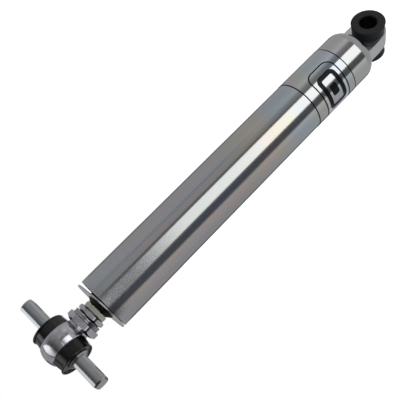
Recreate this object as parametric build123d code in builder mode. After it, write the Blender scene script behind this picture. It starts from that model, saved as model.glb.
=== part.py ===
from build123d import *
from math import cos, hypot, radians, sin, sqrt
import os

os.makedirs("parts", exist_ok=True)

# Frame: origin at the centre of the body-end eye, +Z along the shock axis toward the rod end,
# +X along the cross pin. Millimetres. The shock stands fully compressed, as photographed.

# Sizes that the rest follows
tube_r = 25.4
wall_t = 2.4
rod_r = 7.0
stroke = 203.2
slip = 0.05

# Body-end eye. Its bore is turned from square to the cross pin, because the rod turns freely
eye_turn_deg = 10.0
sleeve_bore_r = 7.95
sleeve_wall = 1.55
sleeve_r = sleeve_bore_r + sleeve_wall
lower_rubber_t = 3.2
loop_bore_r = sleeve_r + lower_rubber_t
loop_wall = 3.8
loop_r = loop_bore_r + loop_wall
loop_half_w = 8.0
loop_edge = 0.8
web_flare = 0.7
web_rise = 6.0
lower_flange_t = 11.5
lower_rubber_half_len = loop_half_w + lower_flange_t
lower_lip_t = 1.5
sleeve_half_len = lower_rubber_half_len - lower_lip_t
lower_neck_rise = 2.0
lower_flange_neck_r = loop_bore_r + lower_neck_rise
lower_flange_rise = 1.2
lower_flange_r = lower_flange_neck_r + lower_flange_rise
lower_lip_step = 0.4
lower_lip_bore_r = sleeve_bore_r + lower_lip_step
lower_face_dish = 0.9

# Body tube, with its base just clear of the eye's loop
bore_r = tube_r - wall_t
loop_to_base = 2.5
base_z = loop_r + loop_to_base
base_corner_r = 13.0
base_t = 6.0
floor_z = base_z + base_t
floor_corner_r = 7.0
rim_chamfer = 0.5

# Wrapped label film
label_rise = 32.6
label_low_z = base_z + label_rise
label_h = 50.9
label_high_z = label_low_z + label_h
label_t = 0.2

# Floating piston, resting above the gas
gas_h = 19.0
float_h = 16.0
float_low_z = floor_z + gas_h
float_high_z = float_low_z + float_h
float_gap = 0.1
float_r = bore_r - float_gap
float_wall = 5.5
float_floor = 6.0
float_band_edge = 2.0
float_band_low_z = float_low_z + float_band_edge
float_band_h = 4.0
float_band_t = 1.4
float_ring_edge = 4.5
float_ring_z = float_high_z - float_ring_edge
float_ring_r = 1.5

# Piston and its hardware, stacked on the rod's narrow tail up to the shoulder
closed_gap = 10.0
tail_end = 2.0
tail_step = 2.0
tail_r = rod_r - tail_step
tail_low_z = float_high_z + closed_gap
piston_nut_h = 10.0
piston_nut_r = 9.8
shim_t = 0.5
shim_steps = 4
shim_step_r = 1.8
plate_t = 2.5
plate_r = 11.0
top_plate_r = 14.0
piston_h = 16.0
shims_low_z = tail_low_z + tail_end + piston_nut_h + plate_t
piston_low_z = shims_low_z + shim_steps * shim_t
piston_high_z = piston_low_z + piston_h
shims_high_z = piston_high_z + shim_steps * shim_t
rod_shoulder_z = shims_high_z + plate_t
piston_gap = 0.5
piston_r = bore_r - piston_gap
band_edge = 3.5
band_low_z = piston_low_z + band_edge
band_high_z = piston_high_z - band_edge
band_t = 1.4
band_gap = 0.04
energizer_t = 1.6
energizer_half_h = 1.6
port_r = 2.6
port_wall = 7.5
outer_port_pcd_r = bore_r - port_wall
port_reach = 5.5
inner_port_pcd_r = tail_r + port_reach
port_count = 6
shim_cover = 0.4
shim_big_r = outer_port_pcd_r + port_r + shim_cover
topout_t = 7.5
topout_r = rod_r + topout_t
topout_h = 10.0

# Rod guide, seals and the rings that hold them. The stroke sets the guide's height
topout_gap = 0.8
guide_low_z = rod_shoulder_z + topout_h + stroke + topout_gap
guide_h = 22.0
guide_high_z = guide_low_z + guide_h
guide_gap = 0.04
guide_r = bore_r - guide_gap
guide_bore_gap = 0.5
guide_bore_r = rod_r + guide_bore_gap
bush_t = 2.0
bush_r = rod_r + bush_t
bush_edge = 1.5
bush_h = 10.5
bush_low_z = guide_low_z + bush_edge
bush_high_z = bush_low_z + bush_h
seal_t = 6.0
seal_r = rod_r + seal_t
seal_land = 1.5
seal_h = 6.5
seal_low_z = bush_high_z + seal_land
seal_high_z = seal_low_z + seal_h
seal_lip = 1.5
guide_ring_edge = 7.0
guide_ring_z = guide_low_z + guide_ring_edge
guide_ring_r = 1.5
wire_r = 1.0
lower_wire_z = guide_low_z - wire_r
upper_wire_z = guide_high_z + wire_r
end_cap_h = 3.9
end_cap_inset = 1.3
end_cap_low_z = upper_wire_z + wire_r
end_cap_high_z = end_cap_low_z + end_cap_h
rim_z = end_cap_high_z + end_cap_inset
end_cap_gap = 1.2
end_cap_bore_r = rod_r + end_cap_gap
wiper_t = 4.5
wiper_r = rod_r + wiper_t
wiper_inset = 0.3
wiper_top_z = end_cap_high_z - wiper_inset

# Bump stop and its loose steel disc, as wide as the tube and slightly askew above its rim
disc_r = tube_r
disc_t = 1.2
disc_clear = 0.3759
disc_tilt_x = 0.0553
disc_tilt_y = 0.0321
disc_z = rim_z + disc_clear + disc_t / 2 + disc_r * hypot(disc_tilt_x, disc_tilt_y)
disc_grip = 3.0
disc_grip_r = rod_r + disc_grip
stop_foot = 3.2
stop_low_z = disc_z - stop_foot
stop_collar_t = 2.6
stop_collar_r = disc_grip_r + stop_collar_t
stop_flare_t = 3.4
stop_wide_r = disc_grip_r + stop_flare_t
stop_flare_low_z = disc_z - stop_foot / 2
stop_flare_h = 0.8
stop_flare_z = disc_z + stop_flare_h
stop_small_t = 2.0
stop_small_r = rod_r + stop_small_t
stop_nose_h = 3.3

# Threaded end of the rod and the nuts on it. The jam nut meets the bump stop and the shoulder
jam_low_z = stop_flare_z + stop_nose_h
jam_h = 4.1
jam_high_z = jam_low_z + jam_h
jam_corner_r = 10.6
jam_turn_deg = 46.4
lock_h = 5.8
lock_high_z = jam_high_z + lock_h
lock_corner_r = 12.9
lock_turn_deg = 47.0
nut_chamfer = 1.5
corner_round = 4.0
corner_loss = corner_round * (2 / sqrt(3) - 1)
rod_top_shoulder_z = jam_low_z
thread_step = 1.05
thread_r = rod_r - thread_step
thread_depth = 0.85
thread_root_r = thread_r - thread_depth
thread_pitch = 1.5
nut_bore_r = thread_r + slip

# Foot of the rod-end eye
crown_h = 4.0
crown_high_z = lock_high_z + crown_h
crown_r = 13.1
crown_groove = 0.7
foot_h = 10.7
foot_high_z = lock_high_z + foot_h
foot_corner_r = 15.4
foot_chamfer = 0.5
foot_slope_h = 2.1
foot_slope_in = 3.4
foot_turn_deg = 47.0
thread_start = 0.7
thread_low_z = rod_top_shoulder_z + thread_start
thread_inset = 1.1
thread_top_z = foot_high_z - thread_inset
thread_count = int((thread_top_z - rim_chamfer - thread_low_z) / thread_pitch)

# Rod-end eye, its rubber and the cross pin
pin_core_r = 10.0
upper_rubber_t = 4.2
eye_bore_r = pin_core_r + upper_rubber_t
eye_wall = 4.9
eye_r = eye_bore_r + eye_wall
eye_half_w = 8.25
eye_edge = 0.5
eye_flat = 1.9
neck_r = 10.8
pin_z = foot_high_z + eye_r - eye_flat
crown_end_x = eye_half_w - eye_edge
crown_end_r = sqrt(eye_r ** 2 - crown_end_x ** 2)
rubber_flange_t = 10.45
rubber_half_len = eye_half_w + rubber_flange_t
rubber_shift = 0.4
flange_z = pin_z + rubber_shift
rubber_root_rise = 1.8
rubber_root_r = eye_bore_r + rubber_root_rise
rubber_waist_rise = 0.6
rubber_waist_r = eye_bore_r + rubber_waist_rise
rubber_lip_sag = 1.0
lip_z = pin_z + rubber_lip_sag
rubber_lip_rise = 0.7
rubber_lip_r = rubber_waist_r + rubber_lip_rise
rubber_lip_t = 1.9
rubber_lip_x = rubber_half_len - rubber_lip_t
rubber_lip_edge = 0.5
rubber_face_t = 3.6
rubber_face_r = pin_core_r + rubber_face_t
rubber_dish = 1.5
core_proud = 0.2
pin_core_half_len = rubber_half_len + core_proud
pin_cone_len = 3.1
pin_cone_end = pin_core_half_len + pin_cone_len
bar_half_t = 5.95
bar_half_w = 8.5
bar_len = 24.9
bar_half_len = pin_cone_end + bar_len
bar_edge = 1.4
hole_r = 5.25
hole_to_end = 8.8
hole_pitch = 2 * (bar_half_len - hole_to_end)

bore_dir = (cos(radians(90 + eye_turn_deg)), sin(radians(90 + eye_turn_deg)), 0)
side_dir = (-sin(radians(90 + eye_turn_deg)), cos(radians(90 + eye_turn_deg)), 0)
away_dir = (sin(radians(90 + eye_turn_deg)), -cos(radians(90 + eye_turn_deg)), 0)
eye_plane = Plane(origin=(0, 0, 0), x_dir=side_dir, z_dir=bore_dir)
eye_section = Plane(origin=(0, 0, 0), x_dir=bore_dir, z_dir=away_dir)
eye_axis = Axis((0, 0, 0), bore_dir)
pin_axis = Axis((0, 0, pin_z), (1, 0, 0))
flange_axis = Axis((0, 0, flange_z), (1, 0, 0))
lip_axis = Axis((0, 0, lip_z), (1, 0, 0))


def ring_profile(inner, outer, low, high):
    """Rectangular half section of a plain ring about Z."""
    with BuildSketch(Plane.XZ) as section:
        with Locations(((inner + outer) / 2, (low + high) / 2)):
            Rectangle(outer - inner, high - low)
    return section.sketch


# Body tube, closed at the base and open at the rim
with BuildPart() as body_tube:
    with BuildSketch(Plane.XZ) as tube_wall:
        with BuildLine() as tube_line:
            Line((0, base_z), (tube_r - base_corner_r, base_z))
            RadiusArc((tube_r - base_corner_r, base_z), (tube_r, base_z + base_corner_r), -base_corner_r)
            Line((tube_r, base_z + base_corner_r), (tube_r, rim_z - rim_chamfer))
            Line((tube_r, rim_z - rim_chamfer), (tube_r - rim_chamfer, rim_z))
            Line((tube_r - rim_chamfer, rim_z), (bore_r + rim_chamfer, rim_z))
            Line((bore_r + rim_chamfer, rim_z), (bore_r, rim_z - rim_chamfer))
            Line((bore_r, rim_z - rim_chamfer), (bore_r, floor_z + floor_corner_r))
            RadiusArc((bore_r, floor_z + floor_corner_r), (bore_r - floor_corner_r, floor_z), floor_corner_r)
            Line((bore_r - floor_corner_r, floor_z), (0, floor_z))
            Line((0, floor_z), (0, base_z))
        make_face()
    revolve(axis=Axis.Z)
    # Round grooves for the wire rings
    with BuildSketch(Plane.XZ):
        with Locations((bore_r, lower_wire_z), (bore_r, upper_wire_z)):
            Circle(wire_r)
    revolve(axis=Axis.Z, mode=Mode.SUBTRACT)
body_tube.part.label = "body_tube"
export_step(body_tube.part, "parts/body_tube.step")

# Body-end loop, shaped to the rounded base it is joined to
with BuildPart() as base_shape:
    with BuildSketch(Plane.XZ):
        with BuildLine():
            Line((0, base_z), (tube_r - base_corner_r, base_z))
            RadiusArc((tube_r - base_corner_r, base_z), (tube_r, base_z + base_corner_r), -base_corner_r)
            Line((tube_r, base_z + base_corner_r), (0, base_z + base_corner_r))
            Line((0, base_z + base_corner_r), (0, base_z))
        make_face()
    revolve(axis=Axis.Z)

with BuildPart() as body_end_eye:
    with BuildSketch(eye_plane):
        Circle(loop_r)
        with BuildLine():
            Polyline(
                (-loop_r, 0),
                (loop_r, 0),
                (loop_r + web_flare, web_rise),
                (loop_r + web_flare, base_z + base_corner_r / 3),
                (-loop_r - web_flare, base_z + base_corner_r / 3),
                (-loop_r - web_flare, web_rise),
                close=True,
            )
        make_face()
    extrude(amount=loop_half_w, both=True)
    chamfer(body_end_eye.faces().sort_by(eye_axis)[0].edges(), loop_edge)
    chamfer(body_end_eye.faces().sort_by(eye_axis)[-1].edges(), loop_edge)
    with BuildSketch(eye_plane):
        Circle(loop_bore_r)
    extrude(amount=2 * loop_half_w, both=True, mode=Mode.SUBTRACT)
    add(base_shape.part, mode=Mode.SUBTRACT)
body_end_eye.part.label = "body_end_eye"
export_step(body_end_eye.part, "parts/body_end_eye.step")

# Rubber bush of the body-end eye, with a flange each side and lips over the sleeve ends
with BuildPart() as lower_bushing:
    with BuildSketch(eye_section):
        with BuildLine():
            Polyline(
                (-sleeve_half_len, sleeve_r),
                (-sleeve_half_len, lower_lip_bore_r),
                (-lower_rubber_half_len + lower_face_dish, lower_lip_bore_r),
                (-lower_rubber_half_len, lower_lip_bore_r + lower_face_dish),
                (-lower_rubber_half_len, lower_flange_r - lower_face_dish),
                (-lower_rubber_half_len + lower_face_dish, lower_flange_r),
                (-loop_half_w, lower_flange_neck_r),
                (-loop_half_w, loop_bore_r),
                (loop_half_w, loop_bore_r),
                (loop_half_w, lower_flange_neck_r),
                (lower_rubber_half_len - lower_face_dish, lower_flange_r),
                (lower_rubber_half_len, lower_flange_r - lower_face_dish),
                (lower_rubber_half_len, lower_lip_bore_r + lower_face_dish),
                (lower_rubber_half_len - lower_face_dish, lower_lip_bore_r),
                (sleeve_half_len, lower_lip_bore_r),
                (sleeve_half_len, sleeve_r),
                close=True,
            )
        make_face()
    revolve(axis=eye_axis)
lower_bushing.part.label = "lower_bushing"
export_step(lower_bushing.part, "parts/lower_bushing.step")

# Steel sleeve in the body-end bush
with BuildPart() as lower_sleeve:
    with BuildSketch(eye_plane):
        Circle(sleeve_r - slip)
        Circle(sleeve_bore_r, mode=Mode.SUBTRACT)
    extrude(amount=sleeve_half_len - slip, both=True)
lower_sleeve.part.label = "lower_sleeve"
export_step(lower_sleeve.part, "parts/lower_sleeve.step")

# Clear label film wrapped round the tube
with BuildPart() as label_band:
    add(ring_profile(tube_r, tube_r + label_t, label_low_z, label_high_z))
    revolve(axis=Axis.Z)
label_band.part.label = "label_band"
export_step(label_band.part, "parts/label_band.step")

# Floating piston between the gas and the oil, a cup open toward the gas
with BuildPart() as floating_piston:
    add(ring_profile(0, float_r, float_low_z, float_high_z))
    revolve(axis=Axis.Z)
    with BuildSketch(Plane.XY.offset(float_low_z)):
        Circle(float_r - float_wall)
    extrude(amount=float_high_z - float_low_z - float_floor, mode=Mode.SUBTRACT)
    add(ring_profile(float_r - float_band_t, float_r + 1, float_band_low_z, float_band_low_z + float_band_h))
    revolve(axis=Axis.Z, mode=Mode.SUBTRACT)
    with BuildSketch(Plane.XZ):
        with Locations((float_r - float_ring_r, float_ring_z)):
            Rectangle(2 * float_ring_r, 2 * float_ring_r)
        with Locations((float_r, float_ring_z)):
            Rectangle(2 * float_ring_r, 2 * float_ring_r)
    revolve(axis=Axis.Z, mode=Mode.SUBTRACT)
floating_piston.part.label = "floating_piston"
export_step(floating_piston.part, "parts/floating_piston.step")

with BuildPart() as floating_piston_band:
    add(ring_profile(float_r - float_band_t, bore_r - band_gap,
                     float_band_low_z, float_band_low_z + float_band_h))
    revolve(axis=Axis.Z)
floating_piston_band.part.label = "floating_piston_band"
export_step(floating_piston_band.part, "parts/floating_piston_band.step")

with BuildPart() as floating_piston_o_ring:
    with BuildSketch(Plane.XZ):
        with Locations((bore_r - band_gap - float_ring_r, float_ring_z)):
            Circle(float_ring_r)
    revolve(axis=Axis.Z)
floating_piston_o_ring.part.label = "floating_piston_o_ring"
export_step(floating_piston_o_ring.part, "parts/floating_piston_o_ring.step")

# Piston rod: a narrow tail through the piston, a long ground shaft and a threaded end
with BuildPart() as piston_rod:
    with BuildSketch(Plane.XZ):
        with BuildLine():
            Polyline(
                (0, tail_low_z),
                (tail_r - rim_chamfer, tail_low_z),
                (tail_r, tail_low_z + rim_chamfer),
                (tail_r, rod_shoulder_z),
                (rod_r, rod_shoulder_z),
                (rod_r, rod_top_shoulder_z),
                (thread_r, rod_top_shoulder_z),
                (thread_r, thread_top_z - rim_chamfer),
                (thread_r - rim_chamfer, thread_top_z),
                (0, thread_top_z),
                close=True,
            )
        make_face()
    revolve(axis=Axis.Z)
    # Thread shown as a row of V grooves at the real pitch
    with BuildSketch(Plane.XZ):
        with Locations((0, thread_low_z)):
            with GridLocations(0, thread_pitch, 1, thread_count, align=(Align.CENTER, Align.MIN)):
                with BuildLine():
                    Polyline(
                        (thread_root_r, thread_pitch / 2),
                        (thread_r + slip, thread_pitch / 8),
                        (thread_r + slip, thread_pitch * 7 / 8),
                        close=True,
                    )
                make_face()
    revolve(axis=Axis.Z, mode=Mode.SUBTRACT)
piston_rod.part.label = "piston_rod"
export_step(piston_rod.part, "parts/piston_rod.step")

# Main piston with two circles of ports and a groove for its band
with BuildPart() as main_piston:
    add(ring_profile(tail_r, piston_r, piston_low_z, piston_high_z))
    revolve(axis=Axis.Z)
    add(ring_profile(bore_r - band_gap - band_t, piston_r + 1, band_low_z, band_high_z))
    revolve(axis=Axis.Z, mode=Mode.SUBTRACT)
    add(ring_profile(bore_r - band_gap - band_t - energizer_t, piston_r + 1,
                     (band_low_z + band_high_z) / 2 - energizer_half_h,
                     (band_low_z + band_high_z) / 2 + energizer_half_h))
    revolve(axis=Axis.Z, mode=Mode.SUBTRACT)
    with BuildSketch(Plane.XY.offset(piston_low_z)):
        with PolarLocations(outer_port_pcd_r, port_count):
            Circle(port_r)
        with PolarLocations(inner_port_pcd_r, port_count, start_angle=180 / port_count):
            Circle(port_r / 2)
    extrude(amount=piston_high_z - piston_low_z, mode=Mode.SUBTRACT)
main_piston.part.label = "main_piston"
export_step(main_piston.part, "parts/main_piston.step")

with BuildPart() as piston_band:
    add(ring_profile(bore_r - band_gap - band_t + slip, bore_r - band_gap,
                     band_low_z + slip, band_high_z - slip))
    revolve(axis=Axis.Z)
piston_band.part.label = "piston_band"
export_step(piston_band.part, "parts/piston_band.step")

with BuildPart() as piston_energizer_ring:
    add(ring_profile(bore_r - band_gap - band_t - energizer_t, bore_r - band_gap - band_t,
                     (band_low_z + band_high_z) / 2 - energizer_half_h,
                     (band_low_z + band_high_z) / 2 + energizer_half_h))
    revolve(axis=Axis.Z)
piston_energizer_ring.part.label = "piston_energizer_ring"
export_step(piston_energizer_ring.part, "parts/piston_energizer_ring.step")

# Shim stacks, each a pyramid of thin spring discs with the largest against the piston
with BuildPart() as compression_shims:
    for step in range(shim_steps):
        add(ring_profile(tail_r, shim_big_r - step * shim_step_r,
                         piston_high_z + step * shim_t, piston_high_z + (step + 1) * shim_t))
        revolve(axis=Axis.Z)
compression_shims.part.label = "compression_shims"
export_step(compression_shims.part, "parts/compression_shims.step")

with BuildPart() as rebound_shims:
    for step in range(shim_steps):
        add(ring_profile(tail_r, shim_big_r - step * shim_step_r,
                         piston_low_z - (step + 1) * shim_t, piston_low_z - step * shim_t))
        revolve(axis=Axis.Z)
rebound_shims.part.label = "rebound_shims"
export_step(rebound_shims.part, "parts/rebound_shims.step")

with BuildPart() as upper_backing_plate:
    add(ring_profile(tail_r, top_plate_r, shims_high_z, shims_high_z + plate_t))
    revolve(axis=Axis.Z)
upper_backing_plate.part.label = "upper_backing_plate"
export_step(upper_backing_plate.part, "parts/upper_backing_plate.step")

with BuildPart() as lower_backing_plate:
    add(ring_profile(tail_r, plate_r, shims_low_z - plate_t, shims_low_z))
    revolve(axis=Axis.Z)
lower_backing_plate.part.label = "lower_backing_plate"
export_step(lower_backing_plate.part, "parts/lower_backing_plate.step")

with BuildPart() as piston_nut:
    with BuildSketch(Plane.XY.offset(shims_low_z - plate_t)):
        RegularPolygon(radius=piston_nut_r, side_count=6)
        Circle(tail_r, mode=Mode.SUBTRACT)
    extrude(amount=-piston_nut_h)
piston_nut.part.label = "piston_nut"
export_step(piston_nut.part, "parts/piston_nut.step")

with BuildPart() as top_out_bumper:
    add(ring_profile(rod_r, topout_r, rod_shoulder_z, rod_shoulder_z + topout_h))
    revolve(axis=Axis.Z)
    chamfer(top_out_bumper.edges().filter_by(GeomType.CIRCLE).sort_by(Axis.Z)[-2:], nut_chamfer)
top_out_bumper.part.label = "top_out_bumper"
export_step(top_out_bumper.part, "parts/top_out_bumper.step")

# Rod guide, held in the tube mouth between two wire rings
with BuildPart() as rod_guide:
    add(ring_profile(guide_bore_r, guide_r, guide_low_z, guide_high_z))
    revolve(axis=Axis.Z)
    add(ring_profile(guide_bore_r - 1, bush_r, bush_low_z, bush_high_z))
    revolve(axis=Axis.Z, mode=Mode.SUBTRACT)
    add(ring_profile(guide_bore_r - 1, seal_r, seal_low_z, guide_high_z + 1))
    revolve(axis=Axis.Z, mode=Mode.SUBTRACT)
    with BuildSketch(Plane.XZ):
        with Locations((guide_r - guide_ring_r, guide_ring_z)):
            Rectangle(2 * guide_ring_r, 2 * guide_ring_r)
        with Locations((guide_r, guide_ring_z)):
            Rectangle(2 * guide_ring_r, 2 * guide_ring_r)
    revolve(axis=Axis.Z, mode=Mode.SUBTRACT)
rod_guide.part.label = "rod_guide"
export_step(rod_guide.part, "parts/rod_guide.step")

with BuildPart() as guide_bush:
    add(ring_profile(rod_r + slip, bush_r, bush_low_z, bush_high_z))
    revolve(axis=Axis.Z)
guide_bush.part.label = "guide_bush"
export_step(guide_bush.part, "parts/guide_bush.step")

with BuildPart() as guide_o_ring:
    with BuildSketch(Plane.XZ):
        with Locations((guide_r - guide_ring_r, guide_ring_z)):
            Circle(guide_ring_r)
    revolve(axis=Axis.Z)
guide_o_ring.part.label = "guide_o_ring"
export_step(guide_o_ring.part, "parts/guide_o_ring.step")

# Rod seal with a pressure side groove between its two lips
with BuildPart() as rod_seal:
    add(ring_profile(rod_r + slip, seal_r, seal_low_z, seal_high_z))
    revolve(axis=Axis.Z)
    with BuildSketch(Plane.XZ):
        with BuildLine():
            Polyline(
                (rod_r + seal_lip, seal_low_z - slip),
                (seal_r - seal_lip, seal_low_z - slip),
                (seal_r - seal_lip * 3 / 2, (seal_low_z + seal_high_z) / 2),
                (rod_r + seal_lip * 3 / 2, (seal_low_z + seal_high_z) / 2),
                close=True,
            )
        make_face()
    revolve(axis=Axis.Z, mode=Mode.SUBTRACT)
rod_seal.part.label = "rod_seal"
export_step(rod_seal.part, "parts/rod_seal.step")

# Two equal wire rings sprung into the tube grooves
with BuildPart() as guide_wire_rings:
    with BuildSketch(Plane.XZ):
        with Locations((bore_r, lower_wire_z), (bore_r, upper_wire_z)):
            Circle(wire_r)
    revolve(axis=Axis.Z)
guide_wire_rings.part.label = "guide_wire_rings"
export_step(guide_wire_rings.part, "parts/guide_wire_rings.step")

# Cap in the tube mouth with the dust wiper in it
with BuildPart() as end_cap:
    add(ring_profile(end_cap_bore_r, guide_r, end_cap_low_z, end_cap_high_z))
    revolve(axis=Axis.Z)
    add(ring_profile(end_cap_bore_r - 1, wiper_r, end_cap_low_z + 1, end_cap_high_z + 1))
    revolve(axis=Axis.Z, mode=Mode.SUBTRACT)
end_cap.part.label = "end_cap"
export_step(end_cap.part, "parts/end_cap.step")

with BuildPart() as wiper_seal:
    add(ring_profile(rod_r + slip, wiper_r, end_cap_low_z + 1, wiper_top_z))
    revolve(axis=Axis.Z)
    chamfer(wiper_seal.edges().filter_by(GeomType.CIRCLE).sort_by(Axis.Z)[-2:], rim_chamfer)
wiper_seal.part.label = "wiper_seal"
export_step(wiper_seal.part, "parts/wiper_seal.step")

# Loose steel disc gripped in the bump stop, tilted as photographed
disc_plane = Plane(origin=(0, 0, disc_z), z_dir=(disc_tilt_x, disc_tilt_y, 1))
with BuildPart() as bump_disc:
    with BuildSketch(disc_plane):
        Circle(disc_r)
        Circle(disc_grip_r, mode=Mode.SUBTRACT)
    extrude(amount=disc_t / 2, both=True)
bump_disc.part.label = "bump_disc"
export_step(bump_disc.part, "parts/bump_disc.step")

# Rubber bump stop: a collar, the groove for the disc and a cone toward the nuts
with BuildPart() as bump_stop:
    with BuildSketch(Plane.XZ):
        with BuildLine():
            Polyline(
                (rod_r, stop_low_z),
                (stop_collar_r, stop_low_z),
                (stop_wide_r, stop_flare_low_z),
                (stop_wide_r, stop_flare_z),
                (stop_small_r, jam_low_z),
                (rod_r, jam_low_z),
                close=True,
            )
        make_face()
    revolve(axis=Axis.Z)
    add(bump_disc.part, mode=Mode.SUBTRACT)
bump_stop.part.label = "bump_stop"
export_step(bump_stop.part, "parts/bump_stop.step")

# Thin jam nut against the rod shoulder
with BuildPart() as jam_nut:
    with BuildSketch(Plane.XY.offset(jam_low_z)):
        RegularPolygon(radius=jam_corner_r, side_count=6, rotation=jam_turn_deg)
    extrude(amount=jam_high_z - jam_low_z)
    with BuildSketch(Plane.XZ):
        with BuildLine():
            Polyline(
                (0, jam_low_z),
                (jam_corner_r - nut_chamfer / 2, jam_low_z),
                (jam_corner_r, jam_low_z + nut_chamfer / 3),
                (jam_corner_r, jam_high_z - nut_chamfer / 3),
                (jam_corner_r - nut_chamfer / 2, jam_high_z),
                (0, jam_high_z),
                close=True,
            )
        make_face()
    revolve(axis=Axis.Z, mode=Mode.INTERSECT)
    with BuildSketch(Plane.XY.offset(jam_low_z)):
        Circle(nut_bore_r)
    extrude(amount=jam_high_z - jam_low_z, mode=Mode.SUBTRACT)
jam_nut.part.label = "jam_nut"
export_step(jam_nut.part, "parts/jam_nut.step")

# Thicker lock nut, chamfered on both faces
with BuildPart() as lock_nut:
    with BuildSketch(Plane.XY.offset(jam_high_z)) as lock_outline:
        RegularPolygon(radius=lock_corner_r + corner_loss, side_count=6, rotation=lock_turn_deg)
        fillet(lock_outline.vertices(), corner_round)
    extrude(amount=lock_high_z - jam_high_z)
    with BuildSketch(Plane.XZ):
        with BuildLine():
            Polyline(
                (0, jam_high_z),
                (lock_corner_r - 2 * nut_chamfer, jam_high_z),
                (lock_corner_r, jam_high_z + nut_chamfer),
                (lock_corner_r, lock_high_z - nut_chamfer),
                (lock_corner_r - 2 * nut_chamfer, lock_high_z),
                (0, lock_high_z),
                close=True,
            )
        make_face()
    revolve(axis=Axis.Z, mode=Mode.INTERSECT)
    with BuildSketch(Plane.XY.offset(jam_high_z)):
        Circle(nut_bore_r)
    extrude(amount=lock_high_z - jam_high_z, mode=Mode.SUBTRACT)
lock_nut.part.label = "lock_nut"
export_step(lock_nut.part, "parts/lock_nut.step")

# Foot of the eye: a grooved round crown and a hexagon with rounded corners, threaded on the rod
with BuildPart() as eye_foot:
    with BuildSketch(Plane.XY.offset(lock_high_z)) as foot_outline:
        RegularPolygon(radius=foot_corner_r + corner_loss, side_count=6, rotation=foot_turn_deg)
        fillet(foot_outline.vertices(), corner_round)
    extrude(amount=foot_high_z - lock_high_z)
    with BuildSketch(Plane.XZ):
        with BuildLine():
            Polyline(
                (0, lock_high_z),
                (crown_r - crown_groove, lock_high_z),
                (crown_r, lock_high_z + crown_groove),
                (crown_r, (lock_high_z + crown_high_z) / 2 - crown_groove),
                (crown_r - crown_groove, (lock_high_z + crown_high_z) / 2),
                (crown_r, (lock_high_z + crown_high_z) / 2 + crown_groove),
                (crown_r, crown_high_z - crown_groove),
                (crown_r - crown_groove, crown_high_z),
                (foot_corner_r - foot_chamfer, crown_high_z),
                (foot_corner_r, crown_high_z + foot_chamfer),
                (foot_corner_r, foot_high_z - foot_slope_h),
                (foot_corner_r - foot_slope_in, foot_high_z),
                (0, foot_high_z),
                close=True,
            )
        make_face()
    revolve(axis=Axis.Z, mode=Mode.INTERSECT)
    with BuildSketch(Plane.XY.offset(lock_high_z)):
        Circle(nut_bore_r)
    extrude(amount=foot_high_z - lock_high_z, mode=Mode.SUBTRACT)
eye_foot.part.label = "eye_foot"
export_step(eye_foot.part, "parts/eye_foot.step")

# Rod-end eye: a ring with a ball-shaped crown and a short neck to the foot
with BuildPart() as rod_end_eye:
    with BuildSketch(Plane.XZ):
        with BuildLine():
            Polyline(
                (-crown_end_x, pin_z + crown_end_r),
                (-eye_half_w, pin_z + crown_end_r - eye_edge),
                (-eye_half_w, pin_z + eye_bore_r),
                (eye_half_w, pin_z + eye_bore_r),
                (eye_half_w, pin_z + crown_end_r - eye_edge),
                (crown_end_x, pin_z + crown_end_r),
            )
            ThreePointArc((-crown_end_x, pin_z + crown_end_r), (0, pin_z + eye_r), (crown_end_x, pin_z + crown_end_r))
        make_face()
    revolve(axis=pin_axis)
    with BuildSketch(Plane.XY.offset(foot_high_z)):
        Circle(neck_r)
        Rectangle(2 * eye_half_w, 2 * neck_r, mode=Mode.INTERSECT)
    extrude(amount=eye_r)
    with BuildSketch(Plane.YZ):
        with Locations((0, pin_z)):
            Circle(eye_bore_r)
    extrude(amount=eye_half_w, both=True, mode=Mode.SUBTRACT)
    with BuildSketch(Plane.XY.offset(foot_high_z)):
        Rectangle(2 * eye_r, 2 * eye_r)
    extrude(amount=-eye_r, mode=Mode.SUBTRACT)
rod_end_eye.part.label = "rod_end_eye"
export_step(rod_end_eye.part, "parts/rod_end_eye.step")

# Rubber bush of the rod-end eye: its flanges taper to a thin lip round a dished face, and the lips
# sag a little off the pin's axis
with BuildPart() as upper_bushing:
    with BuildSketch(Plane.YZ):
        with Locations((0, pin_z)):
            Circle(eye_bore_r)
    extrude(amount=eye_half_w, both=True)
    for side in (-1, 1):
        with BuildSketch(Plane.XZ):
            with BuildLine():
                Polyline(
                    (side * eye_half_w, flange_z),
                    (side * eye_half_w, flange_z + rubber_root_r),
                    (side * (rubber_lip_x + rubber_lip_edge), flange_z + rubber_waist_r),
                    (side * (rubber_lip_x + rubber_lip_edge), flange_z),
                    close=True,
                )
            make_face()
        revolve(axis=flange_axis)
        with BuildSketch(Plane.XZ):
            with BuildLine():
                Polyline(
                    (side * rubber_lip_x, lip_z),
                    (side * rubber_lip_x, lip_z + rubber_lip_r - rubber_lip_edge),
                    (side * (rubber_lip_x + rubber_lip_edge), lip_z + rubber_lip_r),
                    (side * (rubber_half_len - rubber_lip_edge), lip_z + rubber_lip_r),
                    (side * rubber_half_len, lip_z + rubber_lip_r - rubber_lip_edge),
                    (side * rubber_half_len, lip_z + rubber_lip_r - 2 * rubber_lip_edge),
                    (side * (rubber_half_len - rubber_dish), lip_z + rubber_face_r),
                    (side * (rubber_half_len - rubber_dish), lip_z),
                    close=True,
                )
            make_face()
        revolve(axis=lip_axis)
    with BuildSketch(Plane.YZ):
        with Locations((0, pin_z)):
            Circle(pin_core_r + slip)
    extrude(amount=pin_core_half_len, both=True, mode=Mode.SUBTRACT)
upper_bushing.part.label = "upper_bushing"
export_step(upper_bushing.part, "parts/upper_bushing.step")

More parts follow.
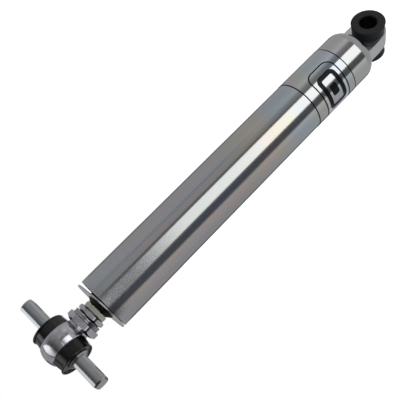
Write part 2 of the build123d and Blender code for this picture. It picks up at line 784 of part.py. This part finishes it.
# Cross pin: a round core with cones down to two flattened bars, each with a bolt hole
with BuildPart() as cross_pin:
    with BuildSketch(Plane.YZ):
        with Locations((0, pin_z)):
            Circle(bar_half_w)
            Rectangle(2 * bar_half_w, 2 * bar_half_t, mode=Mode.INTERSECT)
    extrude(amount=bar_half_len, both=True)
    chamfer(cross_pin.faces().sort_by(Axis.X)[0].edges(), bar_edge)
    chamfer(cross_pin.faces().sort_by(Axis.X)[-1].edges(), bar_edge)
    with BuildSketch(Plane.XZ):
        with BuildLine():
            Polyline(
                (-pin_cone_end, pin_z),
                (-pin_cone_end, pin_z + bar_half_t),
                (-pin_core_half_len, pin_z + pin_core_r),
                (pin_core_half_len, pin_z + pin_core_r),
                (pin_cone_end, pin_z + bar_half_t),
                (pin_cone_end, pin_z),
                close=True,
            )
        make_face()
    revolve(axis=pin_axis)
    with BuildSketch(Plane.XY.offset(pin_z)):
        with GridLocations(hole_pitch, 0, 2, 1):
            Circle(hole_r)
    extrude(amount=2 * bar_half_t, both=True, mode=Mode.SUBTRACT)
cross_pin.part.label = "cross_pin"
export_step(cross_pin.part, "parts/cross_pin.step")
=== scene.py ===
import math

import bpy
from mathutils import Matrix, Vector

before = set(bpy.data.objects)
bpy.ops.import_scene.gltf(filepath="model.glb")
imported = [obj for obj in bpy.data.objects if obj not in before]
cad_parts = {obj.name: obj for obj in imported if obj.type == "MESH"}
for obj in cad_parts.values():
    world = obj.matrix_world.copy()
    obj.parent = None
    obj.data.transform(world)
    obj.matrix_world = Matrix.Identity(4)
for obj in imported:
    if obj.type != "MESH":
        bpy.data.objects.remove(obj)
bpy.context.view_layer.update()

MM = 0.001
RIGHT_ANGLE = math.radians(90.0)

# The side of the shock that the photograph shows, and the camera's place on it
FRONT_AZIMUTH = math.radians(70.0)
CAMERA_REACH = 537.5 * MM
CAMERA_HEIGHT = 357.5 * MM
CAMERA_LENS = 57.1
CAMERA_SENSOR = 36.0
CAMERA_NEAR = 0.01
CAMERA_FAR = 50.0
FRAME_PIXELS = 400.0
SHIFT_PIXELS = 0.5

out = Vector((math.cos(FRONT_AZIMUTH), math.sin(FRONT_AZIMUTH), 0.0))
side = Vector((math.sin(FRONT_AZIMUTH), -math.cos(FRONT_AZIMUTH), 0.0))
down = Vector((0.0, 0.0, -1.0))
# The shock lies slantwise in the picture, so the camera's right and up both have a share of its length
camera_right = (0.159 * out + 0.710 * side + 0.6861 * down).normalized()
camera_up = (0.168 * out - 0.704 * side + 0.6898 * down).normalized()
camera_back = camera_right.cross(camera_up).normalized()
camera_up = camera_back.cross(camera_right).normalized()

camera_data = bpy.data.cameras.new("camera")
camera = bpy.data.objects.new("camera", camera_data)
bpy.context.scene.collection.objects.link(camera)
bpy.context.scene.camera = camera
camera_data.sensor_width = CAMERA_SENSOR
camera_data.lens = CAMERA_LENS
camera_data.shift_x = -SHIFT_PIXELS / FRAME_PIXELS
camera_data.shift_y = SHIFT_PIXELS / FRAME_PIXELS
camera_data.clip_start = CAMERA_NEAR
camera_data.clip_end = CAMERA_FAR
camera_place = out * CAMERA_REACH + Vector((0, 0, CAMERA_HEIGHT))
camera_turn = Matrix((camera_right, camera_up, camera_back)).transposed().to_4x4()
camera.matrix_world = Matrix.Translation(camera_place) @ camera_turn


# Helpers for nodes
def grey(level):
    return (level, level, level)


class Nodes:
    """A small writer for one material's node tree."""

    def __init__(self, name):
        self.material = bpy.data.materials.new(name)
        self.material.use_nodes = True
        self.tree = self.material.node_tree
        self.shader = self.tree.nodes["Principled BSDF"]
        self.coords = self.tree.nodes.new("ShaderNodeTexCoord").outputs["Object"]

    def put(self, socket, value):
        if hasattr(value, "is_output"):
            self.tree.links.new(value, socket)
        else:
            socket.default_value = value

    def math(self, operation, *values):
        node = self.tree.nodes.new("ShaderNodeMath")
        node.operation = operation
        for socket, value in zip(node.inputs, values):
            self.put(socket, value)
        return node.outputs[0]

    def plus(self, a, b):
        return self.math("ADD", a, b)

    def minus(self, a, b):
        return self.math("SUBTRACT", a, b)

    def times(self, a, b):
        return self.math("MULTIPLY", a, b)

    def larger(self, a, b):
        return self.math("MAXIMUM", a, b)

    def split(self):
        node = self.tree.nodes.new("ShaderNodeSeparateXYZ")
        self.put(node.inputs[0], self.coords)
        return node.outputs

    def toward(self, x, y, azimuth):
        """How far a point lies from the tube's axis toward an azimuth, in the object's own space."""
        return self.plus(self.times(x, math.cos(azimuth)), self.times(y, math.sin(azimuth)))

    def noise(self, scale, stretch=(1, 1, 1), detail=3.0, rough=0.5):
        mapping = self.tree.nodes.new("ShaderNodeMapping")
        self.put(mapping.inputs["Vector"], self.coords)
        mapping.inputs["Scale"].default_value = stretch
        node = self.tree.nodes.new("ShaderNodeTexNoise")
        self.put(node.inputs["Vector"], mapping.outputs[0])
        node.inputs["Scale"].default_value = scale
        node.inputs["Detail"].default_value = detail
        node.inputs["Roughness"].default_value = rough
        return node.outputs["Fac"]

    def ramp(self, factor, *stops):
        node = self.tree.nodes.new("ShaderNodeValToRGB")
        elements = node.color_ramp.elements
        while len(elements) < len(stops):
            elements.new(1.0)
        for element, (place, colour) in zip(elements, stops):
            element.position = place
            element.color = (*colour, 1.0)
        self.put(node.inputs[0], factor)
        return node.outputs[0]

    def mix(self, factor, a, b):
        node = self.tree.nodes.new("ShaderNodeMix")
        node.data_type = "RGBA"
        self.put(node.inputs["Factor"], factor)
        for name, value in (("A", a), ("B", b)):
            socket = [each for each in node.inputs if each.name == name and each.type == "RGBA"][0]
            self.put(socket, value if hasattr(value, "is_output") else (*value, 1.0))
        return [each for each in node.outputs if each.type == "RGBA"][0]

    def range(self, value, low, high, to_low=0.0, to_high=1.0):
        node = self.tree.nodes.new("ShaderNodeMapRange")
        for socket, number in zip(node.inputs, (value, low, high, to_low, to_high)):
            self.put(socket, number)
        return node.outputs[0]

    def bump(self, height, distance):
        node = self.tree.nodes.new("ShaderNodeBump")
        node.inputs["Distance"].default_value = distance
        self.put(node.inputs["Height"], height)
        return node.outputs[0]

    def set(self, **values):
        for key, value in values.items():
            self.put(self.shader.inputs[key.replace("_", " ")], value)
        return self.material


# Finishes of metal and rubber
METAL_RELIEF = 0.02 * MM
RUBBER_RELIEF = 0.08 * MM


def metal(name, dark, light, rough, grain=400.0, stretch=(1, 1, 1), tint=None, tint_scale=25.0):
    """Plated or machined metal: two tones in a fine grain, a faint passivation tint and a fine relief."""
    n = Nodes(name)
    fine = n.noise(grain, stretch, detail=4.0, rough=0.6)
    colour = n.ramp(fine, (0.3, dark), (0.7, light))
    if tint:
        broad = n.noise(tint_scale, stretch, detail=2.0)
        colour = n.mix(n.ramp(broad, (0.42, grey(0.0)), (0.62, grey(0.5))), colour, tint)
    roughness = n.range(fine, 0.3, 0.7, *rough)
    return n.set(Base_Color=colour, Metallic=1.0, Roughness=roughness, Normal=n.bump(fine, METAL_RELIEF))


def rubber(name, dark, light, relief=RUBBER_RELIEF, gloss=0.3, rough=(0.5, 0.72)):
    """Moulded rubber: near black, with a fine dusty grain and a little bloom."""
    n = Nodes(name)
    fine = n.noise(1500.0, detail=4.0)
    bloom = n.noise(90.0, detail=3.0)
    colour = n.mix(n.range(bloom, 0.45, 0.75, 0.0, 0.7), n.ramp(fine, (0.35, dark), (0.7, light)), light)
    roughness = n.range(bloom, 0.3, 0.7, *rough)
    return n.set(Base_Color=colour, Roughness=roughness, Specular_IOR_Level=gloss,
                 Normal=n.bump(fine, relief))


# The tube's metal, shared by the label film
TUBE_R = 25.4 * MM
TUBE_RELIEF = 0.01 * MM
TINTS_FROM = 350 * MM
TINTS_TO = 30 * MM
TINTS_DRIFT = 26 * MM
FRONT_MIDDLE = 1 * MM
PATCH_STRENGTH = 0.75
RUN_STRENGTH = 0.6
LINE_STRENGTH = 0.12
LINE_RELIEF = 0.25
GRAIN_RELIEF = 0.3
FROST_RELIEF = 2.4

COOL = (0.445, 0.457, 0.488)
VIOLET = (0.474, 0.450, 0.482)
NEUTRAL = (0.456, 0.458, 0.462)
OLIVE = (0.486, 0.462, 0.404)
BLUE = (0.398, 0.460, 0.526)
WARM = (0.510, 0.450, 0.436)
DULL = (0.36, 0.36, 0.37)
RUSSET = (0.520, 0.452, 0.430)
GREEN = (0.440, 0.478, 0.452)
PALE_GREEN = (0.446, 0.463, 0.454)
ROSE = (0.500, 0.456, 0.446)
STRAW = (0.494, 0.459, 0.384)
DARK_SPECK = (0.27, 0.27, 0.28)
PALE_SPECK = (0.66, 0.66, 0.66)


def tube_finish(n):
    """Drawn and plated tube: faint axial lines, drifting bands of passivation tint and a frosted grain, with
    a painted reflection tint and painted glints along the front, where the reflected streak lies.
    """
    x, y, z = n.split()
    axial = n.noise(260.0, (1, 1, 0.012), detail=4.0, rough=0.6)
    grain = n.noise(1400.0, (1, 1, 0.6), detail=3.0, rough=0.7)
    drift = n.minus(n.noise(30.0, (1, 1, 0.5), detail=3.0), 0.5)
    height = n.plus(z, n.times(drift, TINTS_DRIFT))
    # Bands of tint from the tube's mouth, at 0, to its base, at 1
    along = n.range(height, TINTS_FROM, TINTS_TO)
    colour = n.ramp(along, (0.0, COOL), (0.09, COOL), (0.17, VIOLET), (0.42, VIOLET), (0.49, NEUTRAL),
                    (0.55, OLIVE), (0.61, OLIVE), (0.65, NEUTRAL), (0.69, BLUE), (0.75, BLUE),
                    (0.79, NEUTRAL), (0.81, OLIVE), (0.86, BLUE), (0.91, BLUE), (0.95, NEUTRAL), (1.0, COOL))
    # One side is warmer over part of its length
    aside = n.toward(x, y, FRONT_AZIMUTH - RIGHT_ANGLE)
    warm_side = n.range(aside, 9 * MM, 18 * MM)
    warm_part = n.times(n.range(height, 250 * MM, 215 * MM), n.range(height, 145 * MM, 170 * MM))
    colour = n.mix(n.times(warm_side, warm_part), colour, WARM)
    # Small patches, long runs and the drawing lines
    patches = n.noise(85.0, (1, 1, 0.5), detail=2.0)
    runs = n.noise(75.0, (1, 1, 0.04), detail=2.0)
    colour = n.mix(n.range(patches, 0.54, 0.70, 0.0, PATCH_STRENGTH), colour, RUSSET)
    colour = n.mix(n.range(patches, 0.46, 0.32, 0.0, PATCH_STRENGTH), colour, GREEN)
    colour = n.mix(n.range(runs, 0.55, 0.70, 0.0, RUN_STRENGTH), colour, BLUE)
    colour = n.mix(n.range(runs, 0.45, 0.30, 0.0, RUN_STRENGTH), colour, OLIVE)
    colour = n.mix(n.range(axial, 0.35, 0.65, 0.0, LINE_STRENGTH), colour, DULL)
    # A narrow strip along the front has bands of its own: a painted reflection tint, placed where the
    # reflected streak lies to give that streak its hue
    front_reflection_tint = n.ramp(along, (0.0, COOL), (0.2, PALE_GREEN), (0.52, PALE_GREEN), (0.57, NEUTRAL),
                        (0.60, ROSE), (0.645, STRAW), (0.69, STRAW), (0.74, NEUTRAL), (0.84, NEUTRAL),
                        (0.90, COOL), (0.94, PALE_GREEN), (1.0, COOL))
    off_front = n.math("ABSOLUTE", n.minus(aside, FRONT_MIDDLE))
    colour = n.mix(n.range(off_front, 4.5 * MM, 8 * MM, 0.8, 0.0), colour, front_reflection_tint)
    # Frosted specks toward the mouth, in the plating and in its relief; in the colour they are strongest
    # along the front, where they are painted glints in the reflected streak
    frost_and_glint_specks = n.ramp(n.noise(950.0, detail=1.0), (0.38, DARK_SPECK), (0.62, PALE_SPECK))
    near_front = n.range(off_front, 5 * MM, 8 * MM, 1.0, 0.2)
    speckled = n.times(n.range(z, 265 * MM, 320 * MM, 0.0, 0.4), near_front)
    colour = n.mix(speckled, colour, frost_and_glint_specks)
    frosted = n.range(z, 255 * MM, 330 * MM, 0.0, FROST_RELIEF)
    frost = n.times(n.noise(760.0, (0.8, 0.8, 1.0), detail=2.0), frosted)
    relief = n.plus(n.plus(n.times(axial, LINE_RELIEF), n.times(grain, GRAIN_RELIEF)), frost)
    rough = n.plus(n.range(axial, 0.3, 0.7, 0.07, 0.12), n.range(grain, 0.3, 0.7, 0.0, 0.05))
    return colour, rough, n.bump(relief, TUBE_RELIEF)


def tube_material():
    n = Nodes("drawn_tube")
    colour, rough, normal = tube_finish(n)
    return n.set(Base_Color=colour, Metallic=1.0, Roughness=rough, Normal=normal)


# The label film: a clear band with a plain mark of a panel, a ring and a block
LABEL_LOW = 51.6 * MM
LABEL_HIGH = 102.5 * MM
LABEL_EDGE = 1.05 * MM
MARK_AZIMUTH = math.radians(38.0)
MARK_HEIGHT = 75.5 * MM
MARK_SPLIT = -4 * MM
RING_SHIFT = -2 * MM
PANEL_LINE = 1.4 * MM
PANEL_MARGIN = 2.6 * MM
RING_LINE = 4.5 * MM
RING_MARGIN = 1.2 * MM
LABEL_GLOSS = 0.08
FILM_SHARE = 0.15
PRINT_SHARE = 0.6
FILM_TINT = (0.43, 0.47, 0.52)
PRINT_WHITE = (0.55, 0.55, 0.57)
PRINT_BLACK = (0.006, 0.006, 0.007)


def label_material():
    """Clear film: the tube shows through, its edges are thin dark lines, and it has a plain printed mark."""
    n = Nodes("label_film")
    colour, rough, normal = tube_finish(n)
    x, y, z = n.split()
    from_edge = n.math("MINIMUM", n.minus(z, LABEL_LOW), n.minus(LABEL_HIGH, z))
    edge_line = n.math("LESS_THAN", from_edge, LABEL_EDGE)
    # Places on the mark, across it in arc length and along the tube
    forward = n.toward(x, y, MARK_AZIMUTH)
    aside = n.toward(x, y, MARK_AZIMUTH - RIGHT_ANGLE)
    across = n.times(n.math("ARCTAN2", aside, forward), TUBE_R)
    along = n.minus(z, MARK_HEIGHT)

    def rounded(half_across, half_along, corner, shift=0.0):
        """Distance outside a rectangle with round corners, below zero inside it."""
        off_middle = n.math("ABSOLUTE", n.minus(across, shift))
        over_across = n.larger(n.minus(off_middle, half_across - corner), 0.0)
        over_along = n.larger(n.minus(n.math("ABSOLUTE", along), half_along - corner), 0.0)
        length = n.math("SQRT", n.plus(n.times(over_across, over_across), n.times(over_along, over_along)))
        return n.minus(length, corner)

    def inside(distance, limit=0.0):
        return n.math("LESS_THAN", distance, limit)

    panel = rounded(half_across=28 * MM, half_along=15.5 * MM, corner=9 * MM)
    ring = rounded(half_across=17.5 * MM, half_along=11 * MM, corner=6 * MM, shift=RING_SHIFT)
    block = rounded(half_across=5.5 * MM, half_along=4 * MM, corner=2 * MM, shift=RING_SHIFT)
    panel_line = n.minus(inside(panel), inside(panel, -PANEL_LINE))
    ring_line = n.minus(inside(ring), inside(ring, -RING_LINE))
    plain = n.minus(inside(panel, -PANEL_MARGIN), inside(ring, RING_MARGIN))
    white = n.times(plain, n.math("GREATER_THAN", across, MARK_SPLIT))
    dark = n.larger(n.larger(panel_line, ring_line), n.larger(inside(block), edge_line))
    colour = n.mix(FILM_SHARE, colour, FILM_TINT)
    colour = n.mix(white, colour, PRINT_WHITE)
    colour = n.mix(dark, colour, PRINT_BLACK)
    metallic = n.minus(1.0, n.larger(dark, n.times(white, PRINT_SHARE)))
    return n.set(Base_Color=colour, Metallic=metallic, Roughness=rough, Normal=normal,
                 Specular_IOR_Level=LABEL_GLOSS)


# Materials of the nodes
black_rubber = rubber("black_rubber", dark=(0.003, 0.003, 0.003), light=(0.011, 0.011, 0.012))
glossy_rubber = rubber("glossy_rubber", dark=(0.001, 0.001, 0.001), light=(0.004, 0.003, 0.003),
                       relief=0.012 * MM, gloss=0.5, rough=(0.12, 0.2))
stop_rubber = rubber("stop_rubber", dark=(0.001, 0.001, 0.001), light=(0.004, 0.004, 0.004),
                     relief=0.05 * MM, gloss=0.2, rough=(0.4, 0.5))
seal_rubber = rubber("seal_rubber", dark=(0.008, 0.008, 0.008), light=(0.02, 0.02, 0.02))
plated_eye = metal("plated_eye", dark=(0.50, 0.52, 0.54), light=(0.62, 0.64, 0.66), rough=(0.28, 0.38),
                   tint=(0.58, 0.58, 0.50))
polished_eye = metal("polished_eye", dark=(0.46, 0.46, 0.49), light=(0.56, 0.56, 0.60), rough=(0.13, 0.18),
                     grain=250.0)
plain_zinc = metal("plain_zinc", dark=(0.48, 0.48, 0.51), light=(0.60, 0.60, 0.64), rough=(0.08, 0.15),
                   tint=(0.38, 0.37, 0.42), tint_scale=190.0)
pale_zinc = metal("pale_zinc", dark=(0.42, 0.43, 0.37), light=(0.54, 0.55, 0.48), rough=(0.14, 0.22),
                  tint=(0.50, 0.50, 0.42))
pin_steel = metal("pin_steel", dark=(0.38, 0.40, 0.43), light=(0.45, 0.47, 0.50), rough=(0.17, 0.25),
                  stretch=(0.2, 1, 1), tint=(0.44, 0.43, 0.42))
disc_steel = metal("disc_steel", dark=(0.5, 0.5, 0.52), light=(0.65, 0.65, 0.67), rough=(0.15, 0.25))
spring_steel = metal("spring_steel", dark=(0.28, 0.28, 0.30), light=(0.4, 0.4, 0.42), rough=(0.25, 0.35))
ground_rod = metal("ground_rod", dark=(0.5, 0.51, 0.53), light=(0.58, 0.59, 0.61), rough=(0.06, 0.1),
                   stretch=(1, 1, 0.05))
aluminium = metal("machined_aluminium", dark=(0.55, 0.56, 0.57), light=(0.68, 0.69, 0.7), rough=(0.28, 0.4),
                  stretch=(0.2, 0.2, 4))
dark_sleeve = metal("dark_sleeve", dark=(0.012, 0.012, 0.013), light=(0.03, 0.03, 0.032), rough=(0.45, 0.6))
black_cap = metal("black_cap", dark=(0.015, 0.015, 0.016), light=(0.03, 0.03, 0.032), rough=(0.4, 0.55))
band = rubber("bearing_band", dark=(0.10, 0.06, 0.03), light=(0.16, 0.10, 0.06), relief=0.02 * MM)

FINISH = {
    "body_tube": tube_material(),
    "label_band": label_material(),
    "body_end_eye": plated_eye,
    "lower_bushing": black_rubber,
    "upper_bushing": glossy_rubber,
    "bump_stop": stop_rubber,
    "top_out_bumper": black_rubber,
    "lower_sleeve": dark_sleeve,
    "floating_piston": aluminium,
    "main_piston": aluminium,
    "rod_guide": aluminium,
    "floating_piston_band": band,
    "piston_band": band,
    "guide_bush": band,
    "floating_piston_o_ring": seal_rubber,
    "piston_energizer_ring": seal_rubber,
    "guide_o_ring": seal_rubber,
    "rod_seal": seal_rubber,
    "wiper_seal": seal_rubber,
    "piston_rod": ground_rod,
    "compression_shims": spring_steel,
    "rebound_shims": spring_steel,
    "upper_backing_plate": spring_steel,
    "lower_backing_plate": spring_steel,
    "guide_wire_rings": spring_steel,
    "end_cap": black_cap,
    "bump_disc": disc_steel,
    "jam_nut": pale_zinc,
    "lock_nut": plain_zinc,
    "piston_nut": plain_zinc,
    "eye_foot": plain_zinc,
    "rod_end_eye": polished_eye,
    "cross_pin": pin_steel,
}
for node_name, node_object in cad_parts.items():
    for slot_index in range(len(node_object.data.materials)):
        node_object.data.materials[slot_index] = FINISH[node_name]

# Floor of pale paper
FLOOR_Z = -0.62
FLOOR_HALF = 6.0
FLOOR_GLOW = 0.62
FLOOR_ROUGH = 0.8
PAPER_DULL = 0.86
PAPER_PALE = 0.9


def mesh_object(name, verts, faces):
    mesh = bpy.data.meshes.new(name)
    mesh.from_pydata(verts, [], faces)
    thing = bpy.data.objects.new(name, mesh)
    bpy.context.scene.collection.objects.link(thing)
    return thing


def seen_directly(tree):
    """1 on camera, glossy and transmission rays, else 0."""
    path = tree.nodes.new("ShaderNodeLightPath")
    total = tree.nodes.new("ShaderNodeMath")
    total.operation = "ADD"
    tree.links.new(path.outputs["Is Camera Ray"], total.inputs[0])
    tree.links.new(path.outputs["Is Glossy Ray"], total.inputs[1])
    both = tree.nodes.new("ShaderNodeMath")
    both.operation = "MAXIMUM"
    tree.links.new(total.outputs[0], both.inputs[0])
    tree.links.new(path.outputs["Is Transmission Ray"], both.inputs[1])
    return both.outputs[0]


def floor_material():
    """Pale paper with a light of its own, added to what falls on it: it reads white and keeps a shadow."""
    n = Nodes("floor_paper")
    paper = n.ramp(n.noise(3.0), (0.3, grey(PAPER_DULL)), (0.7, grey(PAPER_PALE)))
    own_light = n.times(seen_directly(n.tree), FLOOR_GLOW)
    return n.set(Base_Color=paper, Roughness=FLOOR_ROUGH, Emission_Color=(1, 1, 1, 1),
                 Emission_Strength=own_light)


floor_corners = [(across * FLOOR_HALF, along * FLOOR_HALF, FLOOR_Z)
                 for across, along in ((-1, -1), (1, -1), (1, 1), (-1, 1))]
floor = mesh_object("floor", floor_corners, [(0, 1, 2, 3)])
floor.data.materials.append(floor_material())

# A round tent of grey, white and black cloths about the shock, seen only in its gloss
TENT_R = 0.8
TENT_LOW = -0.6
TENT_HIGH = 1.28
TENT_SIDES = 180
BLACK_CLOTH = (0.105, 0.118, 0.145)
BLACK_CLOTH_EDGE = (0.105, 0.115, 0.135)
WARM_CLOTH = (0.57, 0.56, 0.56)
WARM_CLOTH_END = (0.47, 0.46, 0.45)
WHITE_CLOTH = (1.98, 2.0, 1.98)
WALL_CARD = (0.98, 0.96, 1.0)


def tent_part(name, verts, faces, material):
    thing = mesh_object(name, verts, faces)
    thing.data.materials.append(material)
    thing.visible_camera = False
    thing.visible_diffuse = False
    thing.visible_shadow = False
    thing.visible_transmission = False


def glow_material(n, colour):
    glow = n.tree.nodes.new("ShaderNodeEmission")
    n.put(glow.inputs["Color"], colour)
    n.tree.links.new(glow.outputs[0], n.tree.nodes["Material Output"].inputs["Surface"])
    return n.material


def window(n, value, low, high, soft):
    """1 between low and high, falling to 0 over the soft distance outside them."""
    return n.times(n.range(value, low - soft, low), n.range(value, high + soft, high))


def wall_material():
    """Grey cloths at three heights, white ones in front and behind, and a small pale card high in front."""
    n = Nodes("tent_wall")
    x, y, z = n.split()
    forward = n.toward(x, y, FRONT_AZIMUTH)
    aside = n.toward(x, y, FRONT_AZIMUTH - RIGHT_ANGLE)
    angle = n.math("DEGREES", n.math("ARCTAN2", aside, forward))
    turn = n.range(angle, -180.0, 180.0)

    def cloths(*stops):
        """Tones round the tent, each at its angle from the front."""
        tones = [((degrees + 180.0) / 360.0, tone if isinstance(tone, tuple) else grey(tone))
                 for degrees, tone in stops]
        return n.ramp(turn, *tones)

    middle_cloths = cloths((-180, 0.15), (-150, 0.20), (-130, 0.44), (-110, 0.46), (-66, 0.48), (-60, 0.34),
                           (-54, 0.43), (-31, 0.42), (-27, 0.18), (-20, 0.18), (-16, 0.42), (22, 0.42),
                           (28, BLACK_CLOTH), (52, BLACK_CLOTH_EDGE), (60, WARM_CLOTH),
                           (110, WARM_CLOTH_END), (130, 0.44), (150, 0.15), (180, 0.15))
    low_cloths = cloths((-180, 0.25), (-150, 0.30), (-130, 0.52), (-95, 0.54), (-70, 0.62), (-55, 0.74),
                        (-48, 0.60), (-40, 0.33), (-24, 0.22), (22, 0.42), (28, 0.13), (51, 0.13),
                        (56, 0.82), (80, 0.64), (130, 0.55), (150, 0.25), (180, 0.25))
    high_cloths = cloths((-180, 0.40), (-110, 0.45), (-70, 0.42), (-45, 0.33), (-14, 0.30), (14, 0.34),
                         (27, 0.06), (66, 0.05), (80, 0.30), (95, 0.52), (180, 0.40))
    low_part = n.range(z, -0.05, -0.35)
    high_part = n.range(z, 0.32, 0.34)
    colour = n.mix(low_part, middle_cloths, low_cloths)
    colour = n.mix(high_part, colour, high_cloths)
    dusk = n.times(n.range(z, 0.42, 1.0, 0.0, 0.75), n.range(angle, -95.0, -70.0))
    colour = n.mix(dusk, colour, grey(0.0))
    fade = n.ramp(n.range(z, 0.25, -0.25), (0.0, grey(0.0)), (0.12, grey(0.32)), (0.26, grey(0.72)),
                  (0.62, grey(0.84)), (0.9, grey(1.0)))
    front_side = window(n, angle, low=-17.5, high=21.5, soft=2.0)
    far_side = n.range(n.math("ABSOLUTE", angle), 168.0, 170.0, 0.0, 0.8)
    colour = n.mix(n.times(n.larger(front_side, far_side), fade), colour, WHITE_CLOTH)
    card = n.times(window(n, angle, low=-6.0, high=16.0, soft=9.0),
                   window(n, z, low=356 * MM, high=415 * MM, soft=14 * MM))
    return glow_material(n, n.mix(card, colour, WALL_CARD))


def lid_material():
    """Grey cloth at the back, a thin black hem across it and a white card in front that fades outward."""
    n = Nodes("tent_lid")
    x, y = n.split()[:2]
    forward = n.toward(x, y, FRONT_AZIMUTH)
    aside = n.toward(x, y, FRONT_AZIMUTH - RIGHT_ANGLE)
    ahead = n.minus(forward, n.times(aside, 0.75))
    card = n.times(n.range(forward, 0.35, 0.7, 1.0, 0.15), n.range(aside, -0.5, 0.25, 1.0, 0.25))
    bright = n.mix(card, grey(0.1), grey(1.7))
    dull = n.mix(n.range(ahead, 0.0, 0.02), grey(0.47), grey(0.04))
    return glow_material(n, n.mix(n.range(ahead, 0.10, 0.13), dull, bright))


def base_material():
    """Grey cloth under the shock, faintly mottled."""
    n = Nodes("tent_base")
    return glow_material(n, n.ramp(n.noise(2.0), (0.3, grey(0.50)), (0.7, grey(0.56))))


corner_turns = [2 * math.pi * corner / TENT_SIDES for corner in range(TENT_SIDES)]
wall_ring = [(TENT_R * math.cos(turn), TENT_R * math.sin(turn)) for turn in corner_turns]
low_ring = [(x, y, TENT_LOW) for x, y in wall_ring]
high_ring = [(x, y, TENT_HIGH) for x, y in wall_ring]
wall_faces = []
for corner in range(TENT_SIDES):
    following = (corner + 1) % TENT_SIDES
    wall_faces.append((corner, following, TENT_SIDES + following, TENT_SIDES + corner))
disc_face = [tuple(range(TENT_SIDES))]
tent_part("tent_wall", low_ring + high_ring, wall_faces, wall_material())
tent_part("tent_lid", high_ring, disc_face, lid_material())
tent_part("tent_base", low_ring, disc_face, base_material())

# World and lamps
WORLD_STRENGTH = 0.55
MIDDLE = Vector((0, 0, 190 * MM))

world = bpy.data.worlds.new("world")
bpy.context.scene.world = world
world.use_nodes = True
background = world.node_tree.nodes["Background"]
background.inputs["Color"].default_value = (1, 1, 1, 1)
world_mix = world.node_tree.nodes.new("ShaderNodeMath")
world_mix.operation = "MAXIMUM"
world_mix.inputs[1].default_value = WORLD_STRENGTH
world.node_tree.links.new(seen_directly(world.node_tree), world_mix.inputs[0])
world.node_tree.links.new(world_mix.outputs[0], background.inputs["Strength"])


def soft_lamp(name, forward, aside, up, size, power):
    """A square lamp that faces the middle of the shock and isn't seen in its gloss."""
    data = bpy.data.lights.new(name, "AREA")
    data.shape = "SQUARE"
    data.size = size
    data.energy = power
    lamp = bpy.data.objects.new(name, data)
    bpy.context.scene.collection.objects.link(lamp)
    place = MIDDLE + out * forward + side * aside + Vector((0, 0, up))
    lamp.location = place
    lamp.rotation_mode = "QUATERNION"
    lamp.rotation_quaternion = (place - MIDDLE).to_track_quat("Z", "Y")
    lamp.visible_glossy = False


soft_lamp("key", forward=0.9, aside=-0.7, up=-0.5, size=0.8, power=10.0)
soft_lamp("fill", forward=0.8, aside=1.0, up=0.4, size=0.9, power=6.0)

bpy.context.scene.view_settings.view_transform = "Standard"
